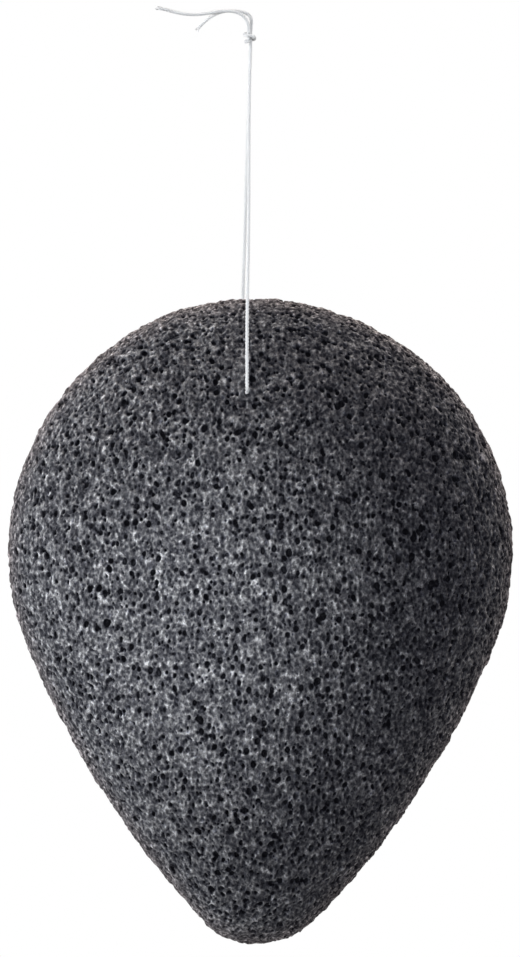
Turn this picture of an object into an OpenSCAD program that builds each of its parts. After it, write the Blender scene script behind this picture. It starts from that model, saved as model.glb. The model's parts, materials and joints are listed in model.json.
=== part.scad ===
// Teardrop konjac sponge that hangs on a loop of white thread.
// The origin is the top of the loop, just below the knot. +Z is up, and the domed front faces -Y.
// All lengths are in millimetres.

/* [Sponge outline] */
// Width of the sponge across its round shoulders
sponge_w = 75; // [66:1:90]
// Height of the sponge from its top to its tip
sponge_h = 96; // [86:1:112]
// Radius of the tip
tip_r = 11.5; // [8:0.5:15]
// Radius of the bowed flanks between the shoulders and the tip
flank_r = 130; // [90:1:200]

/* [Sponge faces] */
// How far the front dome stands out from the rim
front_crown = 18; // [12:0.5:22]
// How far the back swells out from the rim
back_crown = 11; // [8:0.5:16]
// How far the crown of both faces lies below the top of the sponge
crown_drop = 44; // [38:1:50]
// Fullness of the faces near the rim, where 0 gives an ellipse
rim_fullness_share = 0.25; // [0:0.05:0.5]

/* [Needle hole] */
// Depth of the needle hole below the top of the sponge
hole_drop = 14; // [10:0.5:20]
// How far left of the sponge's middle the hole lies, halfway through
hole_side = 2.5; // [0:0.5:5]
// How far the needle drifted to the left on its way to the back
needle_drift = 1; // [0:0.25:3]
// Gap all round between the thread and the hole
hole_gap = 0.05; // [0.03:0.01:0.1]
// Radius of the funnel that the taut thread pulls in the soft foam at each mouth
mouth_r = 0.8; // [0.5:0.1:1.5]
// Depth of each funnel below the face
mouth_depth = 0.8; // [0.5:0.1:1.5]

/* [Thread] */
// Thickness of the thread
thread_d = 0.5; // [0.3:0.05:0.5]
// Distance from the top of the loop down to the needle hole
loop_drop = 52; // [51:0.5:53]
// How far left of the loop's top the needle hole lies, halfway through
loop_side = 1; // [0.5:0.1:1.5]
// How far the rim lies behind the loop, so that the sponge's weight hangs below the knot
rim_back = 2.8; // [1:0.1:5]

/* [Hidden] */

// Where the sponge sits under the loop
shoulder_r = sponge_w / 2;
sponge_x = hole_side - loop_side;
top_z = hole_drop - loop_drop;

// Counts of facets
shoulder_steps = 40;
flank_steps = 11;
tip_steps = 10;
front_rings = 16;
back_rings = 12;
thread_sides = 8;
bore_facets = 32;

// The needle hole runs from front to back, and turns by needle_angle as it drifts to the left.
needle_span = 24;
needle_angle = atan(needle_drift / needle_span);
bore_r = thread_d / 2 + hole_gap;
cut_over = 10;

// Centreline of the front strand, from inside the front mouth up to the knot
front_route = [
    [-0.57, -10.32, -52], [-0.55, -10.8, -52], [-0.53, -11.35, -51.85],
    [-0.52, -11.75, -51.45], [-0.51, -11.87, -51.15], [-0.5, -10.7, -46],
    [-0.48, -9.55, -41], [-0.4, -8.4, -36], [-0.32, -7.25, -31],
    [-0.27, -6.1, -26], [-0.25, -4.95, -21], [-0.25, -3.8, -16],
    [-0.22, -2.65, -11], [-0.15, -1.5, -6], [-0.08, -0.82, -3],
    [-0.02, -0.42, -1.2], [0, -0.28, -0.3]
];

// Centreline of the back strand, from inside the back mouth up to the knot
back_route = [
    [-1.43, 10.32, -52], [-1.45, 10.8, -52], [-1.47, 11.35, -51.85],
    [-1.48, 11.75, -51.45], [-1.48, 11.87, -51.15], [-1.36, 10.7, -46],
    [-1.24, 9.55, -41], [-1.1, 8.4, -36], [-0.95, 7.25, -31],
    [-0.8, 6.1, -26], [-0.66, 4.95, -21], [-0.5, 3.8, -16],
    [-0.34, 2.65, -11], [-0.18, 1.5, -6], [-0.08, 0.82, -3],
    [-0.02, 0.42, -1.2], [0, 0.29, -0.3]
];

// Inside the knot the front thread is the core, and the back thread is hitched once round it.
core_route = [[0, -0.27, 0.2], [0, -0.27, 0.8], [0, -0.27, 1.4]];

// The hitch as turns round the core: angle from +X, distance from the core's middle, height
hitch_turns = [
    [90, 0.56, 0.15], [90, 0.56, 0.55], [91, 0.58, 0.92], [104, 0.63, 1.2],
    [124, 0.7, 1.35], [150, 0.76, 1.38], [178, 0.82, 1.34], [204, 0.97, 1.26],
    [227, 1.09, 1.19], [250, 1.13, 1.12], [274, 1.05, 1.04], [298, 0.9, 0.96],
    [326, 0.68, 0.87], [362, 0.57, 0.78], [396, 0.72, 0.71], [418, 0.96, 0.65],
    [440, 1.11, 0.57], [460, 1.13, 0.48], [481, 1.06, 0.39], [504, 0.9, 0.3],
    [530, 0.72, 0.24], [558, 0.62, 0.22], [583, 0.58, 0.3], [600, 0.57, 0.52],
    [605, 0.56, 0.8], [605, 0.56, 1.15], [605, 0.56, 1.5]
];

// Centreline of the short tail, which carries on from the core of the knot
short_route = [
    [0.04, -0.27, 1.95], [0.1, -0.26, 2.6], [0.13, -0.25, 3.25],
    [0, -0.24, 3.88], [-0.5, -0.23, 4.38], [-1.3, -0.22, 4.66],
    [-2.3, -0.22, 4.82], [-3.4, -0.22, 4.82], [-4.5, -0.22, 4.6],
    [-5.6, -0.22, 4.1], [-6.6, -0.22, 3.4], [-7.5, -0.22, 2.55],
    [-8.05, -0.22, 1.9]
];

// Centreline of the long tail, which carries on from the end of the hitch
long_route = [
    [-0.27, -0.79, 2.05], [-0.36, -0.81, 2.7], [-0.61, -0.84, 3.4],
    [-1.08, -0.87, 4], [-1.7, -0.89, 4.42], [-2.5, -0.9, 4.68],
    [-3.5, -0.9, 4.78], [-4.8, -0.9, 4.7], [-6.2, -0.88, 4.45],
    [-8, -0.85, 4.25], [-9.6, -0.82, 4.32], [-11.2, -0.8, 4.6],
    [-12.7, -0.8, 5], [-14.1, -0.8, 5.3]
];

function unit(v) = v / norm(v);

// The teardrop outline in the plane of the rim, as [x, z] about the top of the sponge.
// Four arcs meet tangent to each other: the shoulders, a bowed flank on each side and the tip.
function arc(centre, r, from, to, steps) = [
    for (i = [0:steps - 1])
        let (a = from + (to - from) * i / steps)
            centre + r * [cos(a), sin(a)]
];

function teardrop() =
    let (
        shoulder = [0, -shoulder_r],
        tip = [0, tip_r - sponge_h],
        middles = sponge_h - shoulder_r - tip_r,
        to_shoulder = flank_r - shoulder_r,
        to_tip = flank_r - tip_r,
        down = (to_shoulder ^ 2 - to_tip ^ 2 + middles ^ 2) / (2 * middles),
        across = sqrt(to_shoulder ^ 2 - down ^ 2),
        right_centre = [-across, -shoulder_r - down],
        left_centre = [across, -shoulder_r - down],
        meets_shoulder = atan2(down, across),
        meets_tip = atan2(down - middles, across)
    )
    concat(
        arc(shoulder, shoulder_r, 180 - meets_shoulder, meets_shoulder, shoulder_steps),
        arc(right_centre, flank_r, meets_shoulder, meets_tip, flank_steps),
        arc(tip, tip_r, meets_tip, -180 - meets_tip, tip_steps),
        arc(left_centre, flank_r, -180 - meets_tip, -180 - meets_shoulder, flank_steps)
    );

// One ring of the loft: the outline drawn in towards the crown, at climb degrees from the rim,
// and set out from the rim towards the front or the back.
function face_ring(outline, climb, crown, side) =
    let (drawn_in = cos(climb) ^ (1 / (1 + rim_fullness_share)))
    [for (p = outline) [
        drawn_in * p[0],
        side * crown * sin(climb),
        drawn_in * (p[1] + crown_drop) - crown_drop
    ]];

// The sponge's blank is a loft from the crown of the front, over the rim, to the crown of the back.
module sponge_blank() {
    outline = teardrop();
    n = len(outline);
    rings = concat(
        [for (i = [front_rings - 1:-1:1]) face_ring(outline, 90 * i / front_rings, front_crown, -1)],
        [for (i = [0:back_rings - 1]) face_ring(outline, 90 * i / back_rings, back_crown, 1)]
    );
    points = concat(
        [[0, -front_crown, -crown_drop]],
        [for (ring = rings) each ring],
        [[0, back_crown, -crown_drop]]
    );
    last = len(points) - 1;
    faces = concat(
        [for (j = [0:n - 1]) [0, 1 + j, 1 + (j + 1) % n]],
        [for (i = [0:len(rings) - 2], j = [0:n - 1])
            let (a = 1 + i * n + j, b = 1 + i * n + (j + 1) % n)
                each [[a, b + n, b], [a, a + n, b + n]]],
        [for (j = [0:n - 1]) [last, last - n + (j + 1) % n, last - n + j]]
    );
    polyhedron(points, faces);
}

// How far the front or back face stands from the rim at the needle hole
function face_at_hole(crown) =
    let (
        drawn_in = (crown_drop - hole_drop) / crown_drop,
        power = 2 * (1 + rim_fullness_share)
    )
    crown * sqrt(1 - drawn_in ^ power);

// A bore with a funnel at each mouth, along the needle's way through the foam
module needle_hole() {
    front_face = face_at_hole(front_crown);
    back_face = face_at_hole(back_crown);
    rotate([-90, 0, needle_angle]) {
        translate([0, 0, -front_crown - cut_over])
            cylinder(h = front_crown + back_crown + 2 * cut_over, r = bore_r, $fn = bore_facets);
        translate([0, 0, rim_back - front_face])
            mirror([0, 0, 1])
                mouth_funnel();
        translate([0, 0, rim_back + back_face])
            mouth_funnel();
    }
}

// The funnel's narrow end is a bore's width, mouth_depth below the face, and it widens past the face.
module mouth_funnel() {
    flare = (mouth_r - bore_r) / mouth_depth;
    translate([0, 0, -mouth_depth])
        cylinder(h = 2 * mouth_depth, r1 = bore_r, r2 = bore_r + 2 * mouth_depth * flare, $fn = bore_facets);
}

module sponge_body() {
    color("#3c3e45")
        difference() {
            translate([sponge_x, rim_back, top_z])
                sponge_blank();
            translate([-loop_side, 0, -loop_drop])
                needle_hole();
        }
}

// The direction of a route at its point i, halfway between the stretches before and after it
function heading(route, i) =
    let (
        last = len(route) - 1,
        before = unit(route[max(i, 1)] - route[max(i, 1) - 1]),
        after = unit(route[min(i, last - 1) + 1] - route[min(i, last - 1)])
    )
    unit(before + after);

// A side direction at each point of a route, carried along it without twist
function sides_along(route) =
    [for (
        i = 0, side = cross(heading(route, 0), [1, 0, 0]);
        i < len(route);
        i = i + 1,
        side = i < len(route) ? side - (side * heading(route, i)) * heading(route, i) : side
    ) unit(side)];

// The rings of a tube of the thread's thickness, one at each point of a route
function tube_rings(route) =
    let (sides = sides_along(route))
    [for (i = [0:len(route) - 1])
        let (up = cross(heading(route, i), sides[i]))
            [for (k = [0:thread_sides - 1])
                let (a = 360 * k / thread_sides)
                    route[i] + thread_d / 2 * (cos(a) * sides[i] + sin(a) * up)]];

// A closed tube through some neighbouring rings
module tube(rings) {
    n = thread_sides;
    last = len(rings) - 1;
    points = [for (ring = rings) each ring];
    faces = concat(
        [[for (k = [0:n - 1]) k]],
        [for (i = [0:last - 1], k = [0:n - 1])
            let (a = i * n + k, b = i * n + (k + 1) % n)
                each [[a, a + n, b + n], [a, b + n, b]]],
        [[for (k = [n - 1:-1:0]) last * n + k]]
    );
    polyhedron(points, faces);
}

// The rings of a tube from its ring first to its ring last
function stretch(rings, first, last) = [for (i = [first:last]) rings[i]];

// The hitch's turns as points of a route
hitch_route = [
    for (turn = hitch_turns)
        core_route[0] + [turn[1] * cos(turn[0]), turn[1] * sin(turn[0]), turn[2] - core_route[0][2]]
];

// The thread's two halves, each from its mouth of the needle hole, through the knot, to its cut end
front_half = tube_rings(concat(front_route, core_route, short_route));
back_half = tube_rings(concat(back_route, hitch_route, long_route));
front_knot = len(front_route) - 1;
front_tail = len(front_route) + len(core_route) - 1;
back_knot = len(back_route) - 1;
back_tail = len(back_route) + len(hitch_route) - 1;

// The stretch of thread inside the sponge, on which it swings
module thread_through() {
    from = front_route[0];
    to = back_route[0];
    color("#e9edee")
        translate(from)
            rotate([-90, 0, atan2(from[0] - to[0], to[1] - from[1])])
                cylinder(h = norm(to - from), d = thread_d, $fn = bore_facets);
}

module front_strand() {
    color("#e9edee")
        tube(stretch(front_half, 0, front_knot));
}

module back_strand() {
    color("#e9edee")
        tube(stretch(back_half, 0, back_knot));
}

module knot() {
    color("#e9edee") {
        tube(stretch(front_half, front_knot, front_tail));
        tube(stretch(back_half, back_knot, back_tail));
    }
}

module short_tail() {
    color("#e9edee")
        tube(stretch(front_half, front_tail, len(front_half) - 1));
}

module long_tail() {
    color("#e9edee")
        tube(stretch(back_half, back_tail, len(back_half) - 1));
}

sponge_body();
thread_through();
front_strand();
back_strand();
knot();
short_tail();
long_tail();
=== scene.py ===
"""Dresses the hanging teardrop konjac sponge: porous black foam on a knotted loop of white thread."""

import itertools
import json
import logging
import math
from dataclasses import dataclass
from enum import Enum
from typing import Iterable, Sequence

import bpy
import numpy as np
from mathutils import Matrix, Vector

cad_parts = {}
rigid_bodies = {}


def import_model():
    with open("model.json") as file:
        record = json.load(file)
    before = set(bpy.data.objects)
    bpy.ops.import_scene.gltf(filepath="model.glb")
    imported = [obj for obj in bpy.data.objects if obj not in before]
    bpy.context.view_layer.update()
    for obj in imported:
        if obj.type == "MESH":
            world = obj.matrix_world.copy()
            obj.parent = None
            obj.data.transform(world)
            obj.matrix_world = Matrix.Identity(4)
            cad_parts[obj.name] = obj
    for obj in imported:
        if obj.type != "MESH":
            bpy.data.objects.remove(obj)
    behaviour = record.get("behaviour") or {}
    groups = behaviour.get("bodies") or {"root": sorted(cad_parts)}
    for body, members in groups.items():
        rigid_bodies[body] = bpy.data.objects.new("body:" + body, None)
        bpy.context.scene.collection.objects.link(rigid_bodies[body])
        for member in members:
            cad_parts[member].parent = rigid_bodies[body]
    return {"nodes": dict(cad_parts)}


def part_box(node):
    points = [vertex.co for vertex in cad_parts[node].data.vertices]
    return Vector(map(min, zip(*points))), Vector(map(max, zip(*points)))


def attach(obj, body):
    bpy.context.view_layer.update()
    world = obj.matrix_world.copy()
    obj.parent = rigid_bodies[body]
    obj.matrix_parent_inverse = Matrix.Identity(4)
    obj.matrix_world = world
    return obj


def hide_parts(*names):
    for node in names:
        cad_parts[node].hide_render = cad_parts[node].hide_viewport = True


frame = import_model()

log = logging.getLogger("sponge")

Point = tuple[float, float, float]
Span = tuple[float, float]
Socket = bpy.types.NodeSocket

# A face's corner numbers, and the same corners on the UV map
Face = list[int]
Chart = list[tuple[float, float]]

MM = 0.001

# How much taller than wide the foam's cells are
UPRIGHT = 1.28

WHITE: Point = (1.0, 1.0, 1.0)
WARM: Point = (1.0, 0.88, 0.76)
COOL: Point = (0.95, 0.98, 1.0)


class Body(Enum):
    """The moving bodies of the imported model."""

    THREAD = "thread"
    SPONGE = "sponge"


class Slot(Enum):
    """The record's material slots."""

    FOAM = "konjac_foam"
    THREAD = "thread"


class YarnEnd(Enum):
    """How a length of yarn ends."""

    JOINED = "joined"
    FRAYED = "frayed"


class Output(Enum):
    """The node that a tree of nodes ends in."""

    MATERIAL = "OutputMaterial"
    WORLD = "OutputWorld"


# Routes of the thread in millimetres, the same points as in the model's source

FRONT_ROUTE: list[Point] = [
    (-0.57, -10.32, -52), (-0.55, -10.8, -52), (-0.53, -11.35, -51.85),
    (-0.52, -11.75, -51.45), (-0.51, -11.87, -51.15), (-0.5, -10.7, -46),
    (-0.48, -9.55, -41), (-0.4, -8.4, -36), (-0.32, -7.25, -31),
    (-0.27, -6.1, -26), (-0.25, -4.95, -21), (-0.25, -3.8, -16),
    (-0.22, -2.65, -11), (-0.15, -1.5, -6), (-0.08, -0.82, -3),
    (-0.02, -0.42, -1.2), (0, -0.28, -0.3),
]

BACK_ROUTE: list[Point] = [
    (-1.43, 10.32, -52), (-1.45, 10.8, -52), (-1.47, 11.35, -51.85),
    (-1.48, 11.75, -51.45), (-1.48, 11.87, -51.15), (-1.36, 10.7, -46),
    (-1.24, 9.55, -41), (-1.1, 8.4, -36), (-0.95, 7.25, -31),
    (-0.8, 6.1, -26), (-0.66, 4.95, -21), (-0.5, 3.8, -16),
    (-0.34, 2.65, -11), (-0.18, 1.5, -6), (-0.08, 0.82, -3),
    (-0.02, 0.42, -1.2), (0, 0.29, -0.3),
]

CORE_ROUTE: list[Point] = [(0, -0.27, 0.2), (0, -0.27, 0.8), (0, -0.27, 1.4)]

# The hitch as turns round the core: angle from +X in degrees, distance from its middle, height
HITCH_TURNS: list[Point] = [
    (90, 0.56, 0.15), (90, 0.56, 0.55), (91, 0.58, 0.92), (104, 0.63, 1.2),
    (124, 0.7, 1.35), (150, 0.76, 1.38), (178, 0.82, 1.34), (204, 0.97, 1.26),
    (227, 1.09, 1.19), (250, 1.13, 1.12), (274, 1.05, 1.04), (298, 0.9, 0.96),
    (326, 0.68, 0.87), (362, 0.57, 0.78), (396, 0.72, 0.71), (418, 0.96, 0.65),
    (440, 1.11, 0.57), (460, 1.13, 0.48), (481, 1.06, 0.39), (504, 0.9, 0.3),
    (530, 0.72, 0.24), (558, 0.62, 0.22), (583, 0.58, 0.3), (600, 0.57, 0.52),
    (605, 0.56, 0.8), (605, 0.56, 1.15), (605, 0.56, 1.5),
]

SHORT_ROUTE: list[Point] = [
    (0.04, -0.27, 1.95), (0.1, -0.26, 2.6), (0.13, -0.25, 3.25),
    (0, -0.24, 3.88), (-0.5, -0.23, 4.38), (-1.3, -0.22, 4.66),
    (-2.3, -0.22, 4.82), (-3.4, -0.22, 4.82), (-4.5, -0.22, 4.6),
    (-5.6, -0.22, 4.1), (-6.6, -0.22, 3.4), (-7.5, -0.22, 2.55),
    (-8.05, -0.22, 1.9),
]

LONG_ROUTE: list[Point] = [
    (-0.27, -0.79, 2.05), (-0.36, -0.81, 2.7), (-0.61, -0.84, 3.4),
    (-1.08, -0.87, 4), (-1.7, -0.89, 4.42), (-2.5, -0.9, 4.68),
    (-3.5, -0.9, 4.78), (-4.8, -0.9, 4.7), (-6.2, -0.88, 4.45),
    (-8, -0.85, 4.25), (-9.6, -0.82, 4.32), (-11.2, -0.8, 4.6),
    (-12.7, -0.8, 5), (-14.1, -0.8, 5.3),
]


def deselect_all() -> None:
    """Leaves no object selected or active."""
    bpy.ops.object.select_all(action="DESELECT")
    bpy.context.view_layer.objects.active = None


def activate(piece: bpy.types.Object) -> None:
    """Selects one object alone and makes it active.

    Args:
        piece: The object that the next operators act on.
    """
    deselect_all()
    piece.select_set(True)
    bpy.context.view_layer.objects.active = piece


def mesh_object(name: str, points: np.ndarray, faces: Sequence[Face]) -> bpy.types.Object:
    """Makes a mesh object in the scene.

    Args:
        name: The name of the piece.
        points: The corners, in metres.
        faces: The corner indices of each face.

    Returns:
        The new object, which sits at the origin.
    """
    mesh = bpy.data.meshes.new(name)
    mesh.from_pydata(points.tolist(), [], faces)
    mesh.update()
    piece = bpy.data.objects.new(name, mesh)
    bpy.context.scene.collection.objects.link(piece)
    return piece


def vectors_of(source: bpy.types.bpy_prop_collection, key: str) -> np.ndarray:
    """Reads one vector of every element of a mesh.

    Args:
        source: The elements, such as the mesh's vertices.
        key: The name of the vector.

    Returns:
        The vectors, one to a row.
    """
    values = np.empty(len(source) * 3, np.float32)
    source.foreach_get(key, values)
    return values.reshape(-1, 3)


def smoothstep(low: float, high: float, value: np.ndarray) -> np.ndarray:
    """Rises smoothly from 0 at low to 1 at high.

    Args:
        low: Where the rise starts.
        high: Where the rise ends.
        value: The places to evaluate.

    Returns:
        The share risen at each place.
    """
    share = np.clip((value - low) / (high - low), 0, 1)
    return share * share * (3 - 2 * share)


def part_way(low: np.ndarray, high: np.ndarray, start: float, end: float, time: float) -> np.ndarray:
    """Finds a point on the line through two others, by time.

    Args:
        low: The point at the start.
        high: The point at the end.
        start: The time at the start.
        end: The time at the end.
        time: The time of the point to find.

    Returns:
        The point.
    """
    return ((end - time) * low + (time - start) * high) / (end - start)


class Nodes:
    """The node tree of a material or of the world, built up node by node."""

    def __init__(self, owner: bpy.types.Material | bpy.types.World, output: Output) -> None:
        """Starts an empty tree.

        Args:
            owner: The material or the world that the tree belongs to.
            output: The node that it ends in.
        """
        owner.use_nodes = True
        self.tree = owner.node_tree
        self.tree.nodes.clear()
        self.output = self.add(output.value)

    def add(
        self, kind: str, settings: dict[str, object] | None = None, **inputs: object
    ) -> bpy.types.Node:
        """Adds a node, with its settings and inputs.

        Args:
            kind: The node's type name after "ShaderNode".
            settings: Properties of the node.
            **inputs: Values, or sockets to link, by input name with _ for a blank.

        Returns:
            The new node.
        """
        node = self.tree.nodes.new("ShaderNode" + kind)
        for key, value in (settings or {}).items():
            setattr(node, key, value)
        for key, value in inputs.items():
            self.feed(node.inputs[key.replace("_", " ")], value)
        return node

    def join(self, kind: str, *values: object, **settings: object) -> Socket:
        """Adds a node whose inputs in use are filled in their order.

        Args:
            kind: The node's type name after "ShaderNode".
            *values: Values, or sockets to link.
            **settings: Properties of the node.

        Returns:
            The node's first output in use.
        """
        node = self.add(kind, settings)
        in_use = [socket for socket in node.inputs if socket.enabled]
        for socket, value in zip(in_use, values):
            self.feed(socket, value)
        return next(socket for socket in node.outputs if socket.enabled)

    def feed(self, socket: Socket, value: object) -> None:
        """Links another socket into this one, or sets its value.

        Args:
            socket: The input to fill.
            value: A socket, or a plain value, where a colour has three parts.
        """
        if isinstance(value, Socket):
            self.tree.links.new(value, socket)
        elif socket.type == "RGBA":
            socket.default_value = (*value, 1)
        else:
            socket.default_value = value

    def blend(self, share: Socket, low: object, high: object) -> Socket:
        """Mixes two colours, from the low one where share is 0 to the high one where it is 1."""
        return self.join("Mix", share, low, high, data_type="RGBA")

    def combine(self, operation: str, *numbers: object) -> Socket:
        """Works out one number from one or two others, by an operation of the Math node."""
        return self.join("Math", *numbers, operation=operation)

    def spread(self, value: Socket, given: Span, result: Span = (0.0, 1.0)) -> Socket:
        """Maps the given range of a value to the result's range, and clamps it there."""
        return self.join("MapRange", value, *given, *result)

    def swing(self, pattern: Socket, contrast: float, dark_share: float = 0.5) -> Socket:
        """Stretches a pattern from 0 to 1 over its contrast, with the dark share of it below 0."""
        ends = (-contrast * dark_share, contrast * (1 - dark_share))
        return self.spread(pattern, (0.0, 1.0), ends)

    def noise(self, place: Socket, size: float, detail: float, roughness: float) -> Socket:
        """Adds a noise pattern from 0 to 1, whose largest features have the given size."""
        node = self.add("TexNoise", Vector=place, Scale=1 / size, Detail=detail, Roughness=roughness)
        return node.outputs["Fac"]

    def direct_view(self) -> Socket:
        """Tells rays of sight from the rays that carry light about.

        Returns:
            1 for what the camera sees, straight, mirrored or through glass, and 0 for the rest.
        """
        path = self.add("LightPath")
        direct = path.outputs["Is Camera Ray"]
        for kind in ("Is Glossy Ray", "Is Transmission Ray"):
            direct = self.combine("MAXIMUM", direct, path.outputs[kind])
        return direct

    def show(self, shader: Socket) -> None:
        """Ends the tree in a shader."""
        self.feed(self.output.inputs["Surface"], shader)


@dataclass(frozen=True)
class FoamFinish:
    """Moist charcoal foam: grey-blue walls, black pits darkened with painted shade, pale fibres, a
    browner edge at the seam, and a faint painted glow that lifts the blacks.
    """

    deep_wall: Point = (0.213, 0.228, 0.293)
    pale_wall: Point = (0.238, 0.2448, 0.2575)
    pale_tones: Span = (-2.1, 0.5)
    seam_wall: Point = (0.266, 0.238, 0.246)
    seam_place: float = 2.8 * MM
    seam_reach: float = 7 * MM
    cell_size: float = 0.66 * MM
    cell_walls: Span = (0.05, 0.85)
    cell_contrast: float = 1.7
    cell_dark_share: float = 0.6
    fibre_size: float = 0.5 * MM
    fibre_detail: float = 2.0
    fibre_roughness: float = 0.55
    fibre_contrast: float = 5.5
    patch_size: float = 1.9 * MM
    patch_detail: float = 2.0
    patch_roughness: float = 0.5
    patch_contrast: float = 2.3
    palest: float = 5.0
    pit_depths: Span = (0.03, 0.5)
    # Share of the wall colour left deepest in the pits: painted shade in the pores' recesses, on top of
    # the shadow that the pits' relief casts
    painted_pit_shade: float = 0.05
    moist_fibres: Span = (0.52, 0.68)
    sheen: float = 0.025
    gloss: float = 0.14
    roughness: float = 0.45
    # A faint painted glow, standing in for the stray light of the white room that lifts the foam's
    # blacks
    painted_glow: Point = (0.002, 0.002, 0.0029)
    relief_depth: float = 0.2 * MM

    def material(self) -> bpy.types.Material:
        """Builds the foam's material.

        Returns:
            A material that reads the piece's pit attribute and Object coordinates.
        """
        material = bpy.data.materials.new("charcoal_foam")
        nodes = Nodes(material, Output.MATERIAL)
        place = nodes.add("TexCoord").outputs["Object"]
        pit = nodes.add("Attribute", {"attribute_name": "pit"}).outputs["Fac"]
        # Painted shade: the walls' colour darkens down into each pit, where the pores hold shade
        pit_painted_shade = nodes.spread(pit, self.pit_depths, (1.0, self.painted_pit_shade))
        weave = nodes.add("Mapping", Vector=place, Scale=(1, 1, 1 / UPRIGHT)).outputs["Vector"]
        cells = nodes.add("TexVoronoi", Vector=weave, Scale=1 / self.cell_size).outputs["Distance"]
        cells = nodes.spread(cells, self.cell_walls)
        fibres = nodes.noise(weave, self.fibre_size, self.fibre_detail, self.fibre_roughness)
        tone = self.tone(nodes, weave, cells, fibres)
        # Paleness and brightness both take the painted pit shade
        paleness = nodes.combine("MULTIPLY", nodes.spread(tone, self.pale_tones), pit_painted_shade)
        brightness = nodes.combine("MINIMUM", nodes.combine("EXPONENT", tone), self.palest)
        brightness = nodes.combine("MULTIPLY", brightness, pit_painted_shade)
        wall = self.wall(nodes, place, paleness)
        colour = nodes.join("VectorMath", wall, brightness, operation="SCALE")
        moisture = nodes.spread(fibres, self.moist_fibres, (self.sheen, self.gloss))
        relief = nodes.combine("ADD", cells, fibres)
        bump = nodes.add("Bump", Strength=1.0, Distance=self.relief_depth, Height=relief)
        # The foam's emission is that painted glow, not a lamp
        foam = nodes.add(
            "BsdfPrincipled", Base_Color=colour, Roughness=self.roughness,
            Specular_IOR_Level=moisture, Normal=bump.outputs["Normal"],
            Emission_Color=self.painted_glow, Emission_Strength=1.0,
        )
        nodes.show(foam.outputs["BSDF"])
        return material

    def tone(self, nodes: Nodes, weave: Socket, cells: Socket, fibres: Socket) -> Socket:
        """Adds up the patterns that make the foam darker and paler.

        Args:
            nodes: The material's nodes.
            weave: The coordinates that the foam's upright cells follow.
            cells: The pattern of the cells, from 0 to 1.
            fibres: The pattern of the fibres, from 0 to 1.

        Returns:
            The tone, as a power of e that the wall's colour is multiplied by.
        """
        patches = nodes.noise(weave, self.patch_size, self.patch_detail, self.patch_roughness)
        fine = nodes.combine(
            "ADD",
            nodes.swing(cells, self.cell_contrast, self.cell_dark_share),
            nodes.swing(fibres, self.fibre_contrast),
        )
        return nodes.combine("ADD", fine, nodes.swing(patches, self.patch_contrast))

    def wall(self, nodes: Nodes, place: Socket, paleness: Socket) -> Socket:
        """Colours the foam's walls, browner towards the seam.

        Args:
            nodes: The material's nodes.
            place: The Object coordinates.
            paleness: How near a wall is to the pale colour, from 0 to 1.

        Returns:
            The colour of the walls.
        """
        depth = nodes.add("SeparateXYZ", Vector=place).outputs["Y"]
        from_seam = nodes.combine("ABSOLUTE", nodes.combine("SUBTRACT", depth, self.seam_place))
        wall = nodes.blend(paleness, self.deep_wall, self.pale_wall)
        return nodes.blend(nodes.spread(from_seam, (0.0, self.seam_reach)), self.seam_wall, wall)


@dataclass(frozen=True)
class ThreadFinish:
    """White cotton, with fibres that run round each ply, and light that spreads inside it."""

    colour: Point = (0.88, 0.89, 0.90)
    shade: Point = (0.79, 0.82, 0.85)
    tones: Span = (0.35, 0.60)
    roughness: float = 0.8
    shine: float = 0.2
    fibre_stretch: Point = (1.5, 14, 1)
    fibre_size: float = 1.0
    fibre_detail: float = 3.0
    fibre_roughness: float = 0.65
    fibre_strength: float = 0.6
    fibre_depth: float = 0.01 * MM
    glow: float = 0.9
    glow_depth: float = 0.4 * MM
    fuzz: float = 0.3

    def material(self) -> bpy.types.Material:
        """Builds the thread's material.

        Returns:
            A material that reads the plies' UV map.
        """
        material = bpy.data.materials.new("white_cotton")
        nodes = Nodes(material, Output.MATERIAL)
        along = nodes.add("TexCoord").outputs["UV"]
        stretched = nodes.add("Mapping", Vector=along, Scale=self.fibre_stretch).outputs["Vector"]
        fibres = nodes.noise(stretched, self.fibre_size, self.fibre_detail, self.fibre_roughness)
        colour = nodes.blend(nodes.spread(fibres, self.tones), self.shade, self.colour)
        bump = nodes.add("Bump", Strength=self.fibre_strength, Distance=self.fibre_depth, Height=fibres)
        cotton = nodes.add(
            "BsdfPrincipled", Base_Color=colour, Roughness=self.roughness, Normal=bump.outputs["Normal"],
            Subsurface_Weight=self.glow, Subsurface_Radius=WHITE, Subsurface_Scale=self.glow_depth,
            Sheen_Weight=self.fuzz, Specular_IOR_Level=self.shine,
        )
        nodes.show(cotton.outputs["BSDF"])
        return material


@dataclass(frozen=True)
class FloorFinish:
    """A white studio floor to the eye, with the object's shadow, that throws little light back up."""

    colour: Point = (0.86, 0.86, 0.86)
    unseen: Point = (0.2, 0.2, 0.2)
    lift: float = 0.72
    fade: Span = (0.25, 0.55)

    def material(self) -> bpy.types.Material:
        """Builds the floor's material.

        Returns:
            A material that fades to plain white, to the camera, with the distance from its middle.
        """
        material = bpy.data.materials.new("studio_white")
        nodes = Nodes(material, Output.MATERIAL)
        place = nodes.add("TexCoord").outputs["Object"]
        reach = nodes.join("VectorMath", place, operation="LENGTH")
        direct = nodes.direct_view()
        whiteness = nodes.combine("MULTIPLY", nodes.spread(reach, self.fade), direct)
        paint = nodes.add("BsdfDiffuse", Color=nodes.blend(direct, self.unseen, self.colour))
        lift = nodes.add("Emission", Color=WHITE, Strength=nodes.combine("MULTIPLY", direct, self.lift))
        lifted = nodes.join("AddShader", paint.outputs["BSDF"], lift.outputs["Emission"])
        white = nodes.add("Emission", Color=WHITE, Strength=1.0)
        nodes.show(nodes.join("MixShader", whiteness, lifted, white.outputs["Emission"]))
        return material


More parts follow.
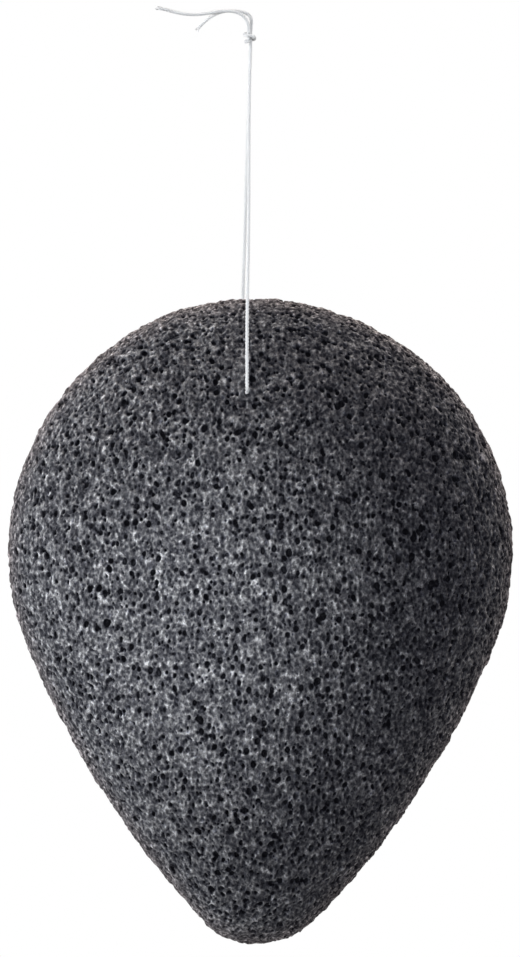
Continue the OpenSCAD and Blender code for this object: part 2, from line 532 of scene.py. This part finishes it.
@dataclass(frozen=True)
class Bubbles:
    """Air bubbles in the foam, one in each cell of a jittered grid, cut open by the surface."""

    spacing: float
    least_radius: float
    largest_radius: float
    seed: int
    small_bias: float = 1.6
    edge: float = 0.13 * MM
    period: int = 48

    def grid(self) -> tuple[np.ndarray, np.ndarray]:
        """Draws the bubbles of one period of the grid.

        Returns:
            Each cell's bubble centre as shares of the cell, and its radius in metres.
        """
        chance = np.random.default_rng(self.seed)
        centres = chance.random((self.period,) * 3 + (3,)).astype(np.float32)
        share = chance.random((self.period,) * 3) ** self.small_bias
        radii = self.least_radius + (self.largest_radius - self.least_radius) * share
        return centres, radii.astype(np.float32)

    def depth(self, points: np.ndarray, normals: np.ndarray) -> np.ndarray:
        """Measures how deep the surface drops into the bubbles that it cuts.

        Args:
            points: Points on the smooth surface, in metres.
            normals: The outward normals there.

        Returns:
            The drop along each inward normal, in metres.
        """
        centres, radii = self.grid()
        cells = np.floor(points / self.spacing).astype(np.int32)
        deepest = np.zeros(len(points), np.float32)
        for step in itertools.product((-1, 0, 1), repeat=3):
            cell = cells + np.array(step, np.int32)
            i, j, k = (cell % self.period).T
            away = points - (cell + centres[i, j, k]) * self.spacing
            radius = radii[i, j, k]
            height = np.einsum("ij,ij->i", away, normals)
            apart = np.einsum("ij,ij->i", away, away)
            floor = np.sqrt(np.maximum(radius**2 - apart + height**2, 0))
            inside = smoothstep(0, self.edge, radius - np.sqrt(apart))
            deepest = np.maximum(deepest, (height + floor) * inside)
        return deepest


@dataclass(frozen=True)
class Relief:
    """Smooth random relief, from chance values on a grid."""

    wavelength: float
    seed: int
    period: int = 64

    def sample(self, points: np.ndarray) -> np.ndarray:
        """Reads the relief at points.

        Args:
            points: The places, in metres.

        Returns:
            Heights from -1 to 1.
        """
        lattice = np.random.default_rng(self.seed).uniform(-1, 1, (self.period,) * 3).astype(np.float32)
        place = points / np.float32(self.wavelength)
        cells = np.floor(place).astype(np.int32)
        share = smoothstep(0, 1, place - cells)
        total = np.zeros(len(points), np.float32)
        for step in itertools.product((0, 1), repeat=3):
            i, j, k = ((cells + np.array(step, np.int32)) % self.period).T
            total += np.prod(np.where(step, share, 1 - share), axis=1) * lattice[i, j, k]
        return total


@dataclass
class Sponge:
    """The moulded foam body, from the teardrop solid, with its pores and its small irregularities."""

    merge_gap: float = 0.001 * MM
    voxel: float = 0.15 * MM
    even_share: float = 0.5
    even_rounds: int = 6
    pit_limit: float = 0.7 * MM
    coarse: Bubbles = Bubbles(0.98 * MM, 0.26 * MM, 0.54 * MM, seed=11)
    middle: Bubbles = Bubbles(0.7 * MM, 0.15 * MM, 0.38 * MM, seed=17)
    fine: Bubbles = Bubbles(0.44 * MM, 0.1 * MM, 0.23 * MM, seed=23)
    bend: float = 0.16 * MM
    bend_length: float = 0.9 * MM
    bend_seeds: tuple[int, int, int] = (41, 42, 43)
    broad_relief: Relief = Relief(1.5 * MM, seed=31)
    close_relief: Relief = Relief(0.6 * MM, seed=37)
    broad_height: float = 0.15 * MM
    close_height: float = 0.17 * MM
    lump_height: float = 0.22 * MM
    lump_length: float = 17 * MM
    lump_variety: Span = (0.6, 1.4)
    lump_waves: int = 5
    lump_seed: int = 5
    swell: float = 0.14 * MM
    lean: float = 0.85 * MM
    lean_reach: float = 13 * MM
    tip_lean_share: float = 0.6
    dimple_depth: float = 0.5 * MM
    dimple_radius: float = 2.2 * MM
    hole_clear: float = 0.7 * MM
    hole_blend: float = 1.6 * MM
    finish: FoamFinish = FoamFinish()

    def build(self) -> bpy.types.Object:
        """Makes the foam body and ties it to the frame.

        Returns:
            The finished piece.
        """
        piece = self.remeshed()
        self.shape(piece)
        piece.data.materials.clear()
        piece.data.materials.append(self.finish.material())
        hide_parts("sponge_body")
        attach(piece, Body.SPONGE.value)
        return piece

    def remeshed(self) -> bpy.types.Object:
        """Copies the teardrop solid as one even, fine mesh.

        Returns:
            The copy, smooth and evenly divided.
        """
        source = frame["nodes"]["sponge_body"]
        piece = bpy.data.objects.new("porous_sponge", source.data.copy())
        bpy.context.scene.collection.objects.link(piece)
        activate(piece)
        bpy.ops.object.mode_set(mode="EDIT")
        bpy.ops.mesh.select_all(action="SELECT")
        bpy.ops.mesh.remove_doubles(threshold=self.merge_gap)
        bpy.ops.object.mode_set(mode="OBJECT")
        piece.data.remesh_voxel_size = self.voxel
        piece.data.use_remesh_fix_poles = False
        bpy.ops.object.voxel_remesh()
        smoother = piece.modifiers.new("even_out", "SMOOTH")
        smoother.factor = self.even_share
        smoother.iterations = self.even_rounds
        bpy.ops.object.modifier_apply(modifier=smoother.name)
        return piece

    def shape(self, piece: bpy.types.Object) -> None:
        """Leans, lumps, dimples and pits the foam body's surface.

        Args:
            piece: The even mesh to shape.
        """
        mesh = piece.data
        points = vectors_of(mesh.vertices, "co")
        normals = vectors_of(mesh.vertex_normals, "vector")
        near_hole = self.distance_to_needle(points)
        open_foam = smoothstep(self.hole_clear, self.hole_blend, near_hole)
        squashed = points / np.array((1, 1, UPRIGHT), np.float32)
        pits = self.pits(squashed, normals) * open_foam
        lumps = (self.lumps(points) + self.roughness(squashed)) * open_foam
        dimple = self.dimple_depth * np.exp(-((near_hole / self.dimple_radius) ** 2)) * open_foam
        swell = self.swell * open_foam
        points -= normals * (pits + lumps + dimple - swell)[:, None]
        points[:, 0] -= self.sideways_lean(points[:, 2])
        mesh.vertices.foreach_set("co", points.ravel())
        attribute = mesh.attributes.new("pit", "FLOAT", "POINT")
        attribute.data.foreach_set("value", (pits / self.pit_limit).astype(np.float32))
        mesh.polygons.foreach_set("use_smooth", np.ones(len(mesh.polygons), bool))
        mesh.update()
        log.info("foam body: %d corners, %d faces", len(mesh.vertices), len(mesh.polygons))

    def distance_to_needle(self, points: np.ndarray) -> np.ndarray:
        """Measures how far points lie from the line of the needle hole.

        Args:
            points: The points to measure, in metres.

        Returns:
            Their distances, in metres.
        """
        front = np.array(FRONT_ROUTE[0]) * MM
        back = np.array(BACK_ROUTE[0]) * MM
        along = (back - front) / np.linalg.norm(back - front)
        away = points - front
        return np.linalg.norm(away - np.outer(away @ along, along), axis=1)

    def pits(self, squashed: np.ndarray, normals: np.ndarray) -> np.ndarray:
        """Cuts open the air bubbles of every size.

        Args:
            squashed: Points on the surface, squashed so that the upright cells are round.
            normals: The outward normals there.

        Returns:
            How far each point sinks, up to pit_limit.
        """
        reliefs = [Relief(self.bend_length, seed) for seed in self.bend_seeds]
        bent = squashed + self.bend * np.stack([relief.sample(squashed) for relief in reliefs], axis=1)
        sizes = (self.coarse, self.middle, self.fine)
        deepest = np.max([bubbles.depth(bent, normals) for bubbles in sizes], axis=0)
        return np.minimum(deepest, self.pit_limit)

    def roughness(self, squashed: np.ndarray) -> np.ndarray:
        """Gives the fine relief between the pits.

        Args:
            squashed: Points on the surface, squashed so that the upright cells are round.

        Returns:
            How far each point sinks, or rises where it is below 0.
        """
        rough = self.broad_height * self.broad_relief.sample(squashed)
        rough += self.close_height * self.close_relief.sample(squashed)
        return rough

    def lumps(self, points: np.ndarray) -> np.ndarray:
        """Gives the gentle hollows of a hand-sized piece of moulded foam.

        Args:
            points: Points on the surface, in metres.

        Returns:
            How far each point sinks, from 0 to lump_height.
        """
        chance = np.random.default_rng(self.lump_seed)
        total = np.zeros(len(points), np.float32)
        for _ in range(self.lump_waves):
            direction = chance.normal(size=3)
            direction /= np.linalg.norm(direction)
            length = self.lump_length * chance.uniform(*self.lump_variety)
            total += np.sin(points @ direction * math.tau / length + chance.uniform(0, math.tau))
        return self.lump_height * (0.5 + 0.5 * total / self.lump_waves)

    def sideways_lean(self, height: np.ndarray) -> np.ndarray:
        """Gives the slight lean to the left of the sponge's top and tip.

        Args:
            height: The points' Z, in metres.

        Returns:
            How far each point moves to the left.
        """
        low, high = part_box("sponge_body")
        top = smoothstep(high.z - self.lean_reach, high.z, height)
        tip = smoothstep(low.z + self.lean_reach, low.z, height)
        return self.lean * (top + self.tip_lean_share * tip)


@dataclass
class Yarn:
    """White thread of plies twisted together, laid along its routes and cut into their stretches."""

    routes: list[list[Point]]
    diameter: float
    plies: int = 3
    twist_length: float = 1.5 * MM
    ply_sides: int = 8
    ring_gap: float = 0.12 * MM
    fray_length: float = 1.2 * MM
    fray_spread: float = 0.16 * MM
    fray_taper: float = 0.2
    # A direction that no route starts along, from which the plies are turned
    start_aside: Point = (0.3, 0.2, 1.0)

    def __post_init__(self) -> None:
        """Works out the smooth centreline and the turning frame along it."""
        corners = np.array([point for route in self.routes for point in route]) * MM
        self.line, stops = self.smooth(corners)
        ends = np.cumsum([len(route) for route in self.routes])
        self.cuts = [0, *(stops[end - 1] for end in ends)]
        self.frames()

    def smooth(self, corners: np.ndarray) -> tuple[np.ndarray, list[int]]:
        """Runs a smooth curve through the routes' points.

        Args:
            corners: The routes' points, in metres.

        Returns:
            The curve's points, and the index of each route point among them.
        """
        padded = np.vstack([2 * corners[0] - corners[1], corners, 2 * corners[-1] - corners[-2]])
        line = [corners[0]]
        stops = [0]
        for i in range(1, len(padded) - 2):
            group = padded[i - 1 : i + 3]
            times = self.clock(group)
            gap = float(np.linalg.norm(group[2] - group[1]))
            steps = max(1, round(gap / self.ring_gap))
            for time in times[1] + (times[2] - times[1]) * np.arange(1, steps + 1) / steps:
                line.append(self.curve_point(group, times, time))
            stops.append(len(line) - 1)
        return np.array(line), stops

    @staticmethod
    def clock(group: np.ndarray) -> list[float]:
        """Times four points of a centripetal curve.

        Args:
            group: The four points.

        Returns:
            The time at each of them.
        """
        times = [0.0]
        for start, end in itertools.pairwise(group):
            times.append(times[-1] + math.sqrt(float(np.linalg.norm(end - start))))
        return times

    @staticmethod
    def curve_point(group: np.ndarray, times: list[float], time: float) -> np.ndarray:
        """Finds a point of the curve between the second and the third of four points.

        Args:
            group: The four points.
            times: The time at each of them.
            time: The time of the point to find.

        Returns:
            The point.
        """
        t0, t1, t2, t3 = times
        first = part_way(group[0], group[1], t0, t1, time)
        second = part_way(group[1], group[2], t1, t2, time)
        third = part_way(group[2], group[3], t2, t3, time)
        early = part_way(first, second, t0, t2, time)
        late = part_way(second, third, t1, t3, time)
        return part_way(early, late, t1, t2, time)

    def frames(self) -> None:
        """Carries a side and an up direction along the centreline without twist."""
        ahead = np.gradient(self.line, axis=0)
        self.ahead = ahead / np.linalg.norm(ahead, axis=1)[:, None]
        side = np.cross(self.ahead[0], self.start_aside)
        sides = []
        for direction in self.ahead:
            side = side - (side @ direction) * direction
            side = side / np.linalg.norm(side)
            sides.append(side)
        self.side = np.array(sides)
        self.up = np.cross(self.ahead, self.side)
        steps = np.linalg.norm(np.diff(self.line, axis=0), axis=1)
        self.travel = np.concatenate([[0], np.cumsum(steps)])

    def length(self, route: int) -> float:
        """Measures the centreline of one route's stretch, in metres."""
        return float(self.travel[self.cuts[route + 1]] - self.travel[self.cuts[route]])

    def plies_of(self, route: int, end: YarnEnd) -> tuple[np.ndarray, list[Face], list[Chart]]:
        """Makes the plies of one route's stretch.

        Args:
            route: The number of the route.
            end: How the stretch's far end is finished.

        Returns:
            The corners, the faces, and each face's corners on the UV map.
        """
        rings = range(self.cuts[route], self.cuts[route + 1] + 1)
        corners: list[np.ndarray] = []
        faces: list[Face] = []
        chart: list[Chart] = []
        for ply in range(self.plies):
            self.skin(len(corners), rings, faces, chart)
            for ring in rings:
                to_end = self.travel[rings[-1]] - self.travel[ring]
                loose = max(0.0, 1 - to_end / self.fray_length) if end is YarnEnd.FRAYED else 0.0
                corners += self.ply_ring(ring, ply, loose)
        return np.array(corners), faces, chart

    def ply_ring(self, ring: int, ply: int, loose: float) -> list[np.ndarray]:
        """Places the corners round one ply at one place.

        Args:
            ring: The place on the centreline.
            ply: The number of the ply.
            loose: How far the plies have come apart there, from 0 to 1.

        Returns:
            The corners, in metres.
        """
        # Plies of this radius touch each other and fill the thread's diameter
        ply_radius = self.diameter / 2 / (1 + 1 / math.sin(math.pi / self.plies))
        offset = self.diameter / 2 - ply_radius
        turn = math.tau * (self.travel[ring] / self.twist_length + ply / self.plies)
        out = math.cos(turn) * self.side[ring] + math.sin(turn) * self.up[ring]
        across = np.cross(self.ahead[ring], out)
        middle = self.line[ring] + (offset + self.fray_spread * loose**2) * out
        radius = ply_radius * (1 - self.fray_taper * loose**2)
        angles = [math.tau * k / self.ply_sides for k in range(self.ply_sides)]
        return [middle + radius * (math.cos(angle) * out + math.sin(angle) * across) for angle in angles]

    def skin(self, base: int, rings: range, faces: list[Face], chart: list[Chart]) -> None:
        """Adds the faces of one ply, with a cap at each end.

        Args:
            base: The index of the ply's first corner.
            rings: The places of its rings on the centreline.
            faces: The list of faces to add to.
            chart: The list of UV corners to add to.
        """
        n = self.ply_sides
        marks = [self.travel[ring] / MM for ring in rings]
        for ring, k in itertools.product(range(len(rings) - 1), range(n)):
            a = base + ring * n + k
            b = base + ring * n + (k + 1) % n
            low = marks[ring]
            high = marks[ring + 1]
            faces.append([a, b, b + n, a + n])
            chart.append([(low, k / n), (low, (k + 1) / n), (high, (k + 1) / n), (high, k / n)])
        for ring, order in ((0, range(n)[::-1]), (len(rings) - 1, range(n))):
            faces.append([base + ring * n + k for k in order])
            chart.append([(marks[ring], k / n) for k in order])


@dataclass
class HangingThread:
    """The one thread that goes through the foam, up in two strands, and into a hitched knot."""

    diameter: float = 0.5 * MM
    bulk: float = 0.56 * MM
    crease_angle: float = math.radians(60)
    finish: ThreadFinish = ThreadFinish()

    def __post_init__(self) -> None:
        """Lays the two halves of the thread and the stretch inside the foam."""
        self.material = self.finish.material()
        self.front = Yarn([FRONT_ROUTE, CORE_ROUTE, SHORT_ROUTE], self.bulk)
        self.back = Yarn([BACK_ROUTE, self.hitch(), LONG_ROUTE], self.bulk)
        self.inner = Yarn([[FRONT_ROUTE[0], BACK_ROUTE[0]]], self.bulk)

    def hitch(self) -> list[Point]:
        """Turns the back thread once round the front thread.

        Returns:
            The route of the hitch, in millimetres.
        """
        x, y, _ = CORE_ROUTE[0]
        route = []
        for angle, reach, height in HITCH_TURNS:
            turn = math.radians(angle)
            route.append((x + reach * math.cos(turn), y + reach * math.sin(turn), height))
        return route

    def build(self) -> list[bpy.types.Object]:
        """Returns:
            The pieces of the thread.
        """
        knot = self.piece("hitched_knot", [(self.front, 1), (self.back, 1)], "knot")
        short_tail = self.piece("short_cut_end", [(self.front, 2)], "short_tail", YarnEnd.FRAYED)
        long_tail = self.piece("long_cut_end", [(self.back, 2)], "long_tail", YarnEnd.FRAYED)
        inner = self.piece("thread_in_foam", [(self.inner, 0)], "thread_through")
        front = self.piece("front_loop_strand", [(self.front, 0)], "front_strand")
        back = self.piece("back_loop_strand", [(self.back, 0)], "back_strand")
        self.declare(front, self.front)
        self.declare(back, self.back)
        return [front, back, inner, knot, short_tail, long_tail]

    def piece(
        self, name: str, parts: Iterable[tuple[Yarn, int]], node: str, end: YarnEnd = YarnEnd.JOINED
    ) -> bpy.types.Object:
        """Makes one piece of the thread from one or more stretches of yarn.

        Args:
            name: The piece's name.
            parts: Each stretch's yarn and the number of its route.
            node: The solid that the piece stands for.
            end: How the piece's far end is finished.

        Returns:
            The new piece.
        """
        corners: list[np.ndarray] = []
        faces: list[Face] = []
        chart: list[Chart] = []
        for yarn, route in parts:
            base = sum(len(block) for block in corners)
            points, quads, places = yarn.plies_of(route, end)
            corners.append(points)
            faces += [[base + corner for corner in quad] for quad in quads]
            chart += places
        piece = mesh_object(name, np.vstack(corners), faces)
        layer = piece.data.uv_layers.new(name="along_ply")
        layer.data.foreach_set("uv", np.array([uv for face in chart for uv in face]).ravel())
        activate(piece)
        bpy.ops.object.shade_smooth_by_angle(angle=self.crease_angle)
        piece.data.materials.append(self.material)
        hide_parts(node)
        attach(piece, Body.THREAD.value)
        log.info("%s: %d faces", name, len(piece.data.polygons))
        return piece

    def declare(self, strand: bpy.types.Object, yarn: Yarn) -> None:
        """Logs the length of a strand of the loop, which ends in the knot.

        Args:
            strand: The strand's mesh.
            yarn: The yarn that it is cut from.
        """
        log.info("%s: %.1f mm long", strand.name, yarn.length(0) / MM)


class LampKind(Enum):
    """The shapes of lamp in the studio."""

    SOFTBOX = "AREA"
    SPOT = "SPOT"


class Reach(Enum):
    """What a lamp shines on."""

    ALL = "all"
    THREAD = "thread"


@dataclass(frozen=True)
class Lamp:
    """A studio lamp, by the direction it stands in from the point it faces."""

    name: str
    kind: LampKind
    level: float
    azimuth: float
    elevation: float
    distance: float = 0.6
    target: Point = (1.5 * MM, 0.0, -84 * MM)
    width: float = 0.3
    height: float = 0.3
    pool_width: float = 40 * MM
    pool_height: float = 56 * MM
    pool_blend: float = 1.0
    colour: Point = WHITE
    reach: Reach = Reach.ALL

    def build(self, thread: bpy.types.Collection) -> None:
        """Places the lamp, with the power that gives its level at the target.

        Args:
            thread: The pieces of thread, which some lamps are kept to.
        """
        azimuth = math.radians(self.azimuth)
        elevation = math.radians(self.elevation)
        data = bpy.data.lights.new(self.name, self.kind.value)
        data.color = self.colour
        lamp = bpy.data.objects.new(self.name, data)
        bpy.context.scene.collection.objects.link(lamp)
        if self.kind is LampKind.SPOT:
            data.spot_size = 2 * math.atan(self.pool_height / 2 / self.distance)
            data.spot_blend = self.pool_blend
            data.shadow_soft_size = self.width / 2
            data.energy = self.level * (math.tau * self.distance) ** 2
            # A cone that is scaled sideways throws an upright pool of light
            lamp.scale.x = self.pool_width * math.cos(azimuth) / self.pool_height
        else:
            data.shape = "RECTANGLE"
            data.size = self.width
            data.size_y = self.height
            data.energy = self.level * (math.pi * self.distance) ** 2
        flat = math.cos(elevation)
        towards = Vector((-math.sin(azimuth) * flat, -math.cos(azimuth) * flat, math.sin(elevation)))
        lamp.location = Vector(self.target) + towards * self.distance
        lamp.rotation_euler = towards.to_track_quat("Z", "Y").to_euler()
        if self.reach is Reach.THREAD:
            lamp.light_linking.receiver_collection = thread


THREAD_MIDDLE: Point = (0.0, 0.0, -20 * MM)

LAMPS = (
    Lamp("low_softbox", LampKind.SOFTBOX, level=0.195, azimuth=60, elevation=-25, height=0.16),
    Lamp("left_softbox", LampKind.SOFTBOX, level=0.43, azimuth=95, elevation=20),
    Lamp("top_softbox", LampKind.SOFTBOX, level=0.27, azimuth=95, elevation=78, colour=WARM),
    Lamp(
        "left_spot", LampKind.SPOT, level=1.03, azimuth=75, elevation=3,
        target=(-6 * MM, -14 * MM, -84 * MM), width=0.03,
    ),
    Lamp(
        "front_spot", LampKind.SPOT, level=0.38, azimuth=0, elevation=3,
        target=(-8 * MM, -14 * MM, -84 * MM), width=0.03, pool_width=48 * MM, pool_height=72 * MM,
    ),
    Lamp("right_rim", LampKind.SOFTBOX, level=0.20, azimuth=-120, elevation=15, colour=WARM),
    Lamp(
        "back_panel", LampKind.SOFTBOX, level=0.35, azimuth=180, elevation=25, distance=0.9,
        width=0.7, height=0.4, colour=WARM,
    ),
    Lamp(
        "thread_left", LampKind.SOFTBOX, level=0.72, azimuth=45, elevation=8,
        target=THREAD_MIDDLE, colour=COOL, reach=Reach.THREAD,
    ),
    Lamp(
        "thread_right", LampKind.SOFTBOX, level=0.62, azimuth=-50, elevation=8,
        target=THREAD_MIDDLE, colour=COOL, reach=Reach.THREAD,
    ),
)


@dataclass
class Studio:
    """Camera, lights and white surroundings, set to the photograph's view."""

    view_centre: Point = (1.41 * MM, 1.6 * MM, -64.7 * MM)
    view_height: float = 142.4 * MM
    camera_distance: float = 1.6
    clip_start: float = 0.01
    sensor: float = 36.0
    room_colour: Point = (0.89, 0.865, 1.0)
    room_level: float = 0.108
    floor_drop: float = 0.42
    floor_size: float = 6.0

    def build(self, thread_pieces: Iterable[bpy.types.Object]) -> None:
        """Sets up the whole studio.

        Args:
            thread_pieces: The pieces of thread, which have lamps of their own.
        """
        self.place_camera()
        self.surround()
        self.lay_floor()
        thread = bpy.data.collections.new("thread_pieces")
        for piece in thread_pieces:
            thread.objects.link(piece)
        for lamp in LAMPS:
            lamp.build(thread)

    def place_camera(self) -> None:
        """Looks straight along +Y at the middle of the photograph's frame."""
        data = bpy.data.cameras.new("product_camera")
        data.sensor_fit = "AUTO"
        data.sensor_width = self.sensor
        data.lens = self.sensor * self.camera_distance / self.view_height
        data.clip_start = self.clip_start
        camera = bpy.data.objects.new("product_camera", data)
        bpy.context.scene.collection.objects.link(camera)
        x, y, z = self.view_centre
        camera.location = (x, y - self.camera_distance, z)
        camera.rotation_euler = (math.radians(90), 0, 0)
        bpy.context.scene.camera = camera

    def surround(self) -> None:
        """Gives dim light from all round, and white to whatever looks straight at it."""
        world = bpy.data.worlds.new("white_room")
        bpy.context.scene.world = world
        nodes = Nodes(world, Output.WORLD)
        dim = nodes.add("Background", Color=self.room_colour, Strength=self.room_level)
        white = nodes.add("Background", Color=WHITE, Strength=1.0)
        rooms = (dim.outputs["Background"], white.outputs["Background"])
        nodes.show(nodes.join("MixShader", nodes.direct_view(), *rooms))

    def lay_floor(self) -> None:
        """Lays a pale floor below the hanging sponge."""
        deselect_all()
        bpy.ops.mesh.primitive_plane_add(size=self.floor_size, location=(0, 0, -self.floor_drop))
        floor = bpy.context.active_object
        floor.name = "studio_floor"
        floor.data.materials.append(FloorFinish().material())


def main() -> None:
    """Builds the studio, the thread and the sponge, and reports each piece."""
    logging.basicConfig(level=logging.INFO, format="%(name)s: %(message)s")
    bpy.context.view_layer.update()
    bpy.context.scene.view_settings.view_transform = "Standard"
    thread_pieces = HangingThread().build()
    Sponge().build()
    Studio().build(thread_pieces)
    bpy.context.view_layer.update()


if __name__ == "__main__":
    main()
